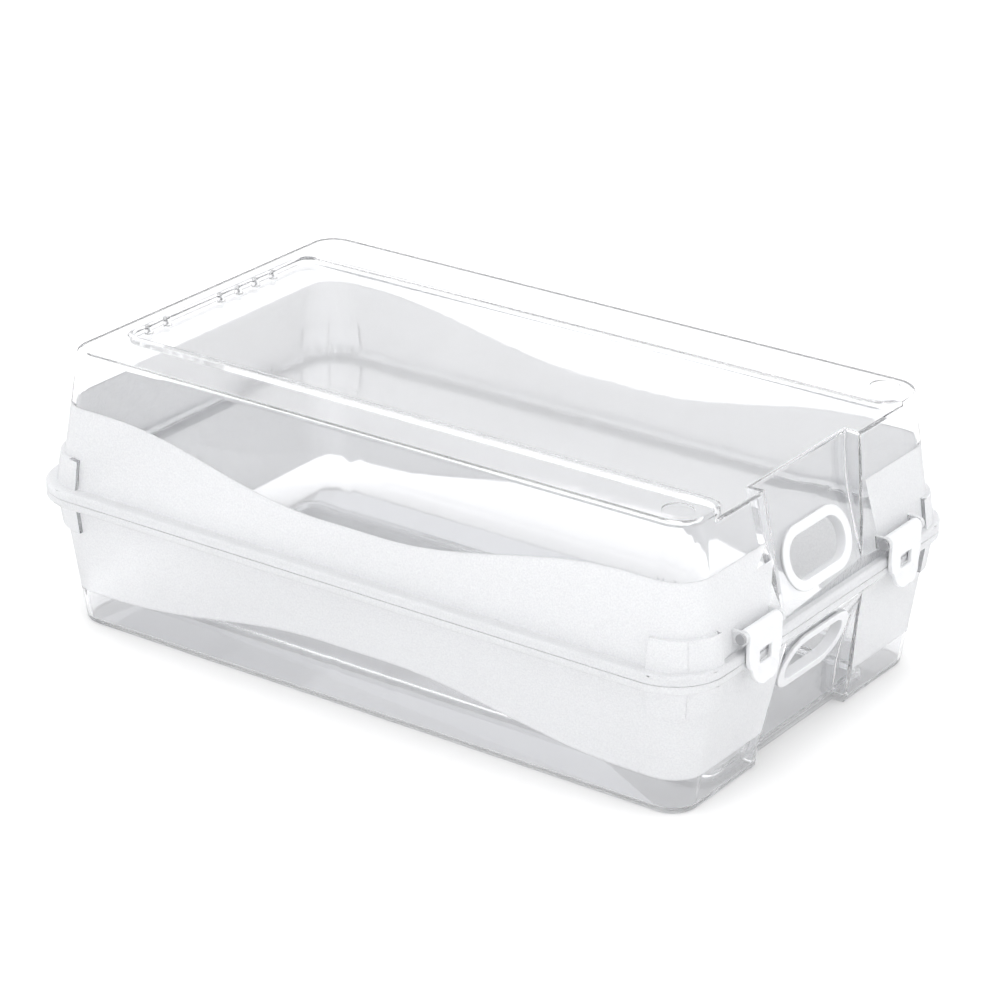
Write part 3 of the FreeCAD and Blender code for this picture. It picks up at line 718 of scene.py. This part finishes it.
def scoop_tree():
    """Narrows a latch's tongue below its plate and presses a shallow scoop into its front."""
    found = bpy.data.node_groups.get("Finger scoop")
    if found:
        return found
    tree, given, out = new_tree("Finger scoop", [
        ("Middle Y", "NodeSocketFloat", 0.0), ("Pin height", "NodeSocketFloat", 0.0757),
        ("Below pin", "NodeSocketFloat", 0.018), ("Half width", "NodeSocketFloat", 0.0088),
        ("Half height", "NodeSocketFloat", 0.0048), ("Depth", "NodeSocketFloat", 0.0007),
        ("Neck", "NodeSocketFloat", 0.82), ("Neck start", "NodeSocketFloat", 0.0125),
        ("Neck end", "NodeSocketFloat", 0.015), ("Detail", "NodeSocketInt", 2),
        ("Material", "NodeSocketMaterial", None)])
    value = given.outputs
    fine = tree.nodes.new("GeometryNodeSubdivideMesh")
    tree.links.new(value["Geometry"], fine.inputs["Mesh"])
    tree.links.new(value["Detail"], fine.inputs["Level"])
    place = tree.nodes.new("GeometryNodeInputPosition")
    split = tree.nodes.new("ShaderNodeSeparateXYZ")
    tree.links.new(place.outputs[0], split.inputs[0])
    normal = tree.nodes.new("GeometryNodeInputNormal")
    facing = tree.nodes.new("ShaderNodeSeparateXYZ")
    tree.links.new(normal.outputs[0], facing.inputs[0])
    from_middle = maths(tree, "SUBTRACT", split.outputs["Y"], value["Middle Y"])
    under_pin = maths(tree, "SUBTRACT", value["Pin height"], split.outputs["Z"])
    across = maths(tree, "DIVIDE", from_middle, value["Half width"])
    down = maths(tree, "DIVIDE", maths(tree, "SUBTRACT", under_pin, value["Below pin"]),
                 value["Half height"])
    reach = maths(tree, "ADD", maths(tree, "MULTIPLY", across, across),
                  maths(tree, "MULTIPLY", down, down))
    inside = maths(tree, "MAXIMUM", maths(tree, "SUBTRACT", 1.0, reach), 0.0)
    front = maths(tree, "GREATER_THAN", facing.outputs["X"], 0.5)
    press = maths(tree, "MULTIPLY", maths(tree, "MULTIPLY", maths(tree, "SQRT", inside), front),
                  value["Depth"])
    spread = tree.nodes.new("ShaderNodeMapRange")
    spread.interpolation_type = "SMOOTHSTEP"
    tree.links.new(under_pin, spread.inputs["Value"])
    tree.links.new(value["Neck start"], spread.inputs["From Min"])
    tree.links.new(value["Neck end"], spread.inputs["From Max"])
    lost = maths(tree, "MULTIPLY", spread.outputs["Result"],
                 maths(tree, "SUBTRACT", value["Neck"], 1.0))
    move = vector_of(tree, maths(tree, "MULTIPLY", press, -1.0),
                     maths(tree, "MULTIPLY", lost, from_middle), 0.0)
    shift = tree.nodes.new("GeometryNodeSetPosition")
    tree.links.new(fine.outputs[0], shift.inputs["Geometry"])
    tree.links.new(move, shift.inputs["Offset"])
    end_tree(tree, shift.outputs[0], value["Material"], out)
    return tree


def bead_tree():
    """Sweeps a thin bead along a path, moved to the height of the frosted band's wavy edge."""
    found = bpy.data.node_groups.get("Band bead")
    if found:
        return found
    tree, given, out = new_tree("Band bead", [
        ("Spacing", "NodeSocketFloat", 0.003), ("Radius", "NodeSocketFloat", 0.00025),
        ("Middle X", "NodeSocketFloat", 0.003), ("Flat", "NodeSocketFloat", 0.016),
        ("Run", "NodeSocketFloat", 0.12), ("Low", "NodeSocketFloat", 0.0234),
        ("Rise", "NodeSocketFloat", 0.0165), ("Direction", "NodeSocketFloat", 1.0),
        ("Lean", "NodeSocketFloat", 0.147), ("Material", "NodeSocketMaterial", None)])
    value = given.outputs
    even = tree.nodes.new("GeometryNodeResampleCurve")
    even.mode = "LENGTH"
    tree.links.new(value["Geometry"], even.inputs["Curve"])
    tree.links.new(value["Spacing"], even.inputs["Length"])
    place = tree.nodes.new("GeometryNodeInputPosition")
    split = tree.nodes.new("ShaderNodeSeparateXYZ")
    tree.links.new(place.outputs[0], split.inputs[0])
    along = maths(tree, "ABSOLUTE", maths(tree, "SUBTRACT", split.outputs["X"], value["Middle X"]))
    share = maths(tree, "DIVIDE", maths(tree, "SUBTRACT", along, value["Flat"]), value["Run"])
    held = maths(tree, "MINIMUM", maths(tree, "MAXIMUM", share, 0.0), 1.0)
    wave_height = maths(tree, "MULTIPLY", maths(tree, "SUBTRACT", 1.0, maths(
        tree, "COSINE", maths(tree, "MULTIPLY", held, math.pi))), 0.5)
    height = maths(tree, "ADD", maths(tree, "MULTIPLY", wave_height, value["Rise"]), value["Low"])
    lean = maths(tree, "MULTIPLY", height, value["Lean"])
    tangent = tree.nodes.new("GeometryNodeInputTangent")
    cross = tree.nodes.new("ShaderNodeVectorMath")
    cross.operation = "CROSS_PRODUCT"
    cross.inputs[1].default_value = (0, 0, 1)
    tree.links.new(tangent.outputs[0], cross.inputs[0])
    inward = tree.nodes.new("ShaderNodeVectorMath")
    inward.operation = "SCALE"
    tree.links.new(cross.outputs[0], inward.inputs[0])
    tree.links.new(maths(tree, "MULTIPLY", lean, -1.0), inward.inputs["Scale"])
    rise = vector_of(tree, 0.0, 0.0, maths(tree, "MULTIPLY", height, value["Direction"]))
    move = tree.nodes.new("ShaderNodeVectorMath")
    tree.links.new(inward.outputs[0], move.inputs[0])
    tree.links.new(rise, move.inputs[1])
    shift = tree.nodes.new("GeometryNodeSetPosition")
    tree.links.new(even.outputs[0], shift.inputs["Geometry"])
    tree.links.new(move.outputs[0], shift.inputs["Offset"])
    ring = tree.nodes.new("GeometryNodeCurvePrimitiveCircle")
    ring.inputs["Resolution"].default_value = 8
    tree.links.new(value["Radius"], ring.inputs["Radius"])
    sweep = tree.nodes.new("GeometryNodeCurveToMesh")
    sweep.inputs["Fill Caps"].default_value = True
    tree.links.new(shift.outputs[0], sweep.inputs["Curve"])
    tree.links.new(ring.outputs["Curve"], sweep.inputs["Profile Curve"])
    end_tree(tree, sweep.outputs[0], value["Material"], out)
    return tree


def wall_path(name, gap):
    """The walls' outline at the parting, from one side of the front channel to the other."""
    centre_x, centre_y = WALLS_HALF_LENGTH - WALLS_CORNER, WALLS_HALF_WIDTH - WALLS_CORNER
    steps = 12
    points = [(WALLS_HALF_LENGTH, gap)]
    for x_sign, y_sign, start in ((1, 1, 0), (-1, 1, 90), (-1, -1, 180), (1, -1, 270)):
        for step in range(steps + 1):
            turn = math.radians(start + 90 * step / steps)
            points.append((x_sign * centre_x + WALLS_CORNER * math.cos(turn),
                           y_sign * centre_y + WALLS_CORNER * math.sin(turn)))
    points.append((WALLS_HALF_LENGTH, -gap))
    data = bpy.data.curves.new(name, "CURVE")
    data.dimensions = "3D"
    spline = data.splines.new("POLY")
    spline.points.add(len(points) - 1)
    for point, (x, y) in zip(spline.points, points):
        point.co = (x + WALLS_MIDDLE_X, y, PARTING, 1)
    return new_object(name, data)


def corner_lines(name, direction):
    """A short upright line at the middle of each thickened corner."""
    centre_x, centre_y = WALLS_HALF_LENGTH - WALLS_CORNER, WALLS_HALF_WIDTH - WALLS_CORNER
    data = bpy.data.curves.new(name, "CURVE")
    data.dimensions = "3D"
    for x_sign in (1, -1):
        for y_sign in (1, -1):
            spline = data.splines.new("POLY")
            spline.points.add(1)
            for point, off in zip(spline.points, CORNER_LINE_ENDS):
                reach = (WALLS_CORNER + PATCH_PROUD - WALL_LEAN * off) * math.sqrt(0.5)
                point.co = (WALLS_MIDDLE_X + x_sign * (centre_x + reach),
                            y_sign * (centre_y + reach), PARTING + direction * off, 1)
    return new_object(name, data)


# ------------------------------------------------------------------ trim, latches, pins

class TRAY_OT_band_beads(bpy.types.Operator):
    """Build the thin beads along the frosted band's edges and at the corners' middles"""
    bl_idname = "tray.band_beads"
    bl_label = "Band beads"

    def execute(self, context):
        band = context.scene.tray_band
        for name, body, low, rise, direction in (
                ("lower_band_bead", "base", band.lower_low, band.lower_rise, -1.0),
                ("upper_band_bead", "lid", band.upper_low, band.upper_rise, 1.0)):
            mesh = run_tree(wall_path(name + "_path", CHANNEL_GAP), bead_tree(), {
                "Middle X": band.middle_x, "Flat": band.flat, "Run": band.run, "Low": low,
                "Rise": rise, "Direction": direction, "Lean": WALL_LEAN,
                "Material": material_of("frosted_moulded_plastic")}, name)
            put_object(name, smooth_faces(mesh), body, [])
            corner = name.replace("band_bead", "corner_lines")
            mesh = run_tree(corner_lines(corner + "_path", direction), bead_tree(), {
                "Low": 0.0, "Rise": 0.0, "Direction": direction,
                "Material": material_of("frosted_moulded_plastic")}, corner)
            put_object(corner, smooth_faces(mesh), body, [])
        return {"FINISHED"}


class TRAY_OT_grip_rims(bpy.types.Operator):
    """Build the white rims of the two grip openings"""
    bl_idname = "tray.grip_rims"
    bl_label = "Grip rims"

    def execute(self, context):
        for node, body in (("lower_grip_rim", "base"), ("upper_grip_rim", "lid")):
            mesh = rounded(node + "_moulded", merged_copy(node), context.scene.tray_edges.trim)
            mesh = smooth_by_angle(mesh, SMALL_PIECE_SHADING)
            piece = put_object(node + "_moulded", mesh, body,
                               ["white_satin_plastic"])
            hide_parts(node)
        return {"FINISHED"}


class TRAY_OT_latches(bpy.types.Operator):
    """Build the two white front latches"""
    bl_idname = "tray.latches"
    bl_label = "Latches"

    def execute(self, context):
        scoop = context.scene.tray_scoop
        for side in ("left", "right"):
            node = side + "_latch"
            mesh = rounded(node + "_rounded", merged_copy(node), context.scene.tray_edges.latch)
            low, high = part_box(node)
            holder = new_object(node + "_work", triangulated(mesh))
            mesh = run_tree(holder, scoop_tree(), {
                "Middle Y": (low.y + high.y) / 2, "Pin height": high.z - LATCH_BARREL_RADIUS,
                "Below pin": scoop.below, "Half width": scoop.half_width,
                "Half height": scoop.half_height, "Depth": scoop.depth, "Neck": scoop.neck,
                "Neck start": scoop.neck_start, "Neck end": scoop.neck_end,
                "Material": material_of("white_satin_plastic")}, node + "_moulded")
            mesh = smooth_by_angle(mesh, SMALL_PIECE_SHADING)
            piece = put_object(node + "_moulded", mesh, node, [])
            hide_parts(node)
        return {"FINISHED"}


class TRAY_OT_pins(bpy.types.Operator):
    """Build the steel pins of the latches and the hinge"""
    bl_idname = "tray.pins"
    bl_label = "Pins"

    def execute(self, context):
        for kind, body in (("latch", "lid"), ("hinge", "base")):
            for side in ("left", "right"):
                node = f"{side}_{kind}_pin"
                mesh = rounded(node + "_turned", merged_copy(node), PIN_ROUNDING)
                mesh = smooth_by_angle(mesh, SMALL_PIECE_SHADING)
                piece = put_object(node + "_turned", mesh, body, ["drawn_steel"])
                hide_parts(node)
        return {"FINISHED"}


# ------------------------------------------------------------------ stage

SENSOR_WIDTH = 36
LENS_SHIFT_X, LENS_SHIFT_Y = 0.00945, 0.0036
LIGHT_BOUNCES = 72  # clear walls one behind another need many


def add_camera(stage):
    """The camera, turned round the walls' middle at the height of the parting."""
    turn, rise, roll = stage.azimuth, stage.elevation, stage.roll
    back = Vector((math.sin(turn) * math.cos(rise), -math.cos(turn) * math.cos(rise),
                   math.sin(rise)))
    right = Vector((math.cos(turn), math.sin(turn), 0))
    up = back.cross(right)
    across = right * math.cos(roll) + up * math.sin(roll)
    upward = up * math.cos(roll) - right * math.sin(roll)
    target = Vector((WALLS_MIDDLE_X, 0, PARTING))
    data = bpy.data.cameras.new("camera")
    data.lens = stage.lens
    data.sensor_width = SENSOR_WIDTH
    data.shift_x = LENS_SHIFT_X
    data.shift_y = LENS_SHIFT_Y
    camera = new_object("camera", data)
    turned = Matrix((across, upward, back)).transposed().to_4x4()
    camera.matrix_world = Matrix.Translation(target + back * stage.distance) @ turned
    bpy.context.scene.camera = camera


def add_area_light(name, place, aim, size, power):
    """A rectangular light that shines from one place towards another."""
    data = bpy.data.lights.new(name, "AREA")
    data.shape = "RECTANGLE"
    data.size, data.size_y = size
    data.energy = power
    light = new_object(name, data)
    light.location = place
    light.rotation_euler = (Vector(aim) - Vector(place)).to_track_quat("-Z", "Y").to_euler()


def add_world():
    """A bright sky over a soft grey horizon, so that clear edges show as grey lines."""
    world = bpy.data.worlds.new("studio")
    bpy.context.scene.world = world
    world.use_nodes = True
    tree = world.node_tree
    tree.nodes.clear()
    where = tree.nodes.new("ShaderNodeTexCoord")
    split = tree.nodes.new("ShaderNodeSeparateXYZ")
    ramp = tree.nodes.new("ShaderNodeValToRGB")
    ramp.color_ramp.elements[0].position = 0.02
    ramp.color_ramp.elements[0].color = (0.52, 0.525, 0.54, 1)
    ramp.color_ramp.elements[1].position = 0.32
    ramp.color_ramp.elements[1].color = (1.0, 1.0, 1.0, 1)
    background = tree.nodes.new("ShaderNodeBackground")
    background.inputs["Strength"].default_value = 1.40
    out = tree.nodes.new("ShaderNodeOutputWorld")
    tree.links.new(where.outputs["Generated"], split.inputs[0])
    tree.links.new(split.outputs["Z"], ramp.inputs[0])
    tree.links.new(ramp.outputs[0], background.inputs["Color"])
    tree.links.new(background.outputs[0], out.inputs["Surface"])


def add_floor():
    """A large pale floor at the height that the tray stands on."""
    half = 6.0
    mesh = bpy.data.meshes.new("floor")
    corners = [(-half, -half, 0), (half, -half, 0), (half, half, 0), (-half, half, 0)]
    mesh.from_pydata(corners, [], [(0, 1, 2, 3)])
    material, tree = new_material("pale_floor")
    shader = tree.nodes.new("ShaderNodeBsdfPrincipled")
    shader.inputs["Base Color"].default_value = (0.86, 0.86, 0.86, 1)
    shader.inputs["Roughness"].default_value = 0.9
    shader.inputs["Specular IOR Level"].default_value = 0.1
    shader.inputs["Emission Color"].default_value = (1, 1, 1, 1)
    shader.inputs["Emission Strength"].default_value = 0.11
    finish_material(tree, shader)
    mesh.materials.append(material)
    floor = new_object("floor", mesh)


class TRAY_OT_stage(bpy.types.Operator):
    """Set up the camera, the floor and the soft lights"""
    bl_idname = "tray.stage"
    bl_label = "Stage"

    def execute(self, context):
        stage = context.scene.tray_stage
        context.scene.view_settings.view_transform = "Standard"
        context.scene.cycles.max_bounces = LIGHT_BOUNCES
        context.scene.cycles.transmission_bounces = LIGHT_BOUNCES
        context.scene.cycles.glossy_bounces = LIGHT_BOUNCES
        add_world()
        add_floor()
        add_area_light("overhead", (0.3, -0.6, 2.2), (0, 0, 0), (1.2, 1.2), stage.key)
        add_camera(stage)
        return {"FINISHED"}


# ------------------------------------------------------------------ panel and registration

class TRAY_PT_panel(bpy.types.Panel):
    """Lists the tray's pieces and sizes."""
    bl_label = "Egg Tray"
    bl_idname = "TRAY_PT_panel"
    bl_space_type = "VIEW_3D"
    bl_region_type = "UI"
    bl_category = "Egg Tray"

    def draw(self, context):
        for operator in OPERATORS:
            self.layout.operator(operator.bl_idname)
        for group in GROUPS:
            settings = getattr(context.scene, group)
            box = self.layout.box()
            for name in settings.bl_rna.properties.keys():
                if name not in ("rna_type", "name"):
                    box.prop(settings, name)


OPERATORS = (TRAY_OT_stage, TRAY_OT_lower_half, TRAY_OT_upper_half, TRAY_OT_band_beads,
             TRAY_OT_grip_rims, TRAY_OT_latches, TRAY_OT_pins)
GROUPS = {"tray_band": TrayBand, "tray_finish": TrayFinish, "tray_edges": TrayEdges,
          "tray_scoop": TrayScoop, "tray_stage": TrayStage}


def register():
    """Register the settings, the operators and the panel."""
    for group in GROUPS.values():
        bpy.utils.register_class(group)
    for operator in OPERATORS:
        bpy.utils.register_class(operator)
    bpy.utils.register_class(TRAY_PT_panel)
    for name, group in GROUPS.items():
        setattr(bpy.types.Scene, name, PointerProperty(type=group))


def unregister():
    """Remove the panel, the operators and the settings."""
    for name in GROUPS:
        delattr(bpy.types.Scene, name)
    for item in (TRAY_PT_panel, *reversed(OPERATORS), *GROUPS.values()):
        bpy.utils.unregister_class(item)


def main():
    register()
    bpy.ops.tray.stage()
    bpy.ops.tray.lower_half()
    bpy.ops.tray.upper_half()
    bpy.ops.tray.band_beads()
    bpy.ops.tray.grip_rims()
    bpy.ops.tray.latches()
    bpy.ops.tray.pins()


if __name__ == "__main__":
    main()
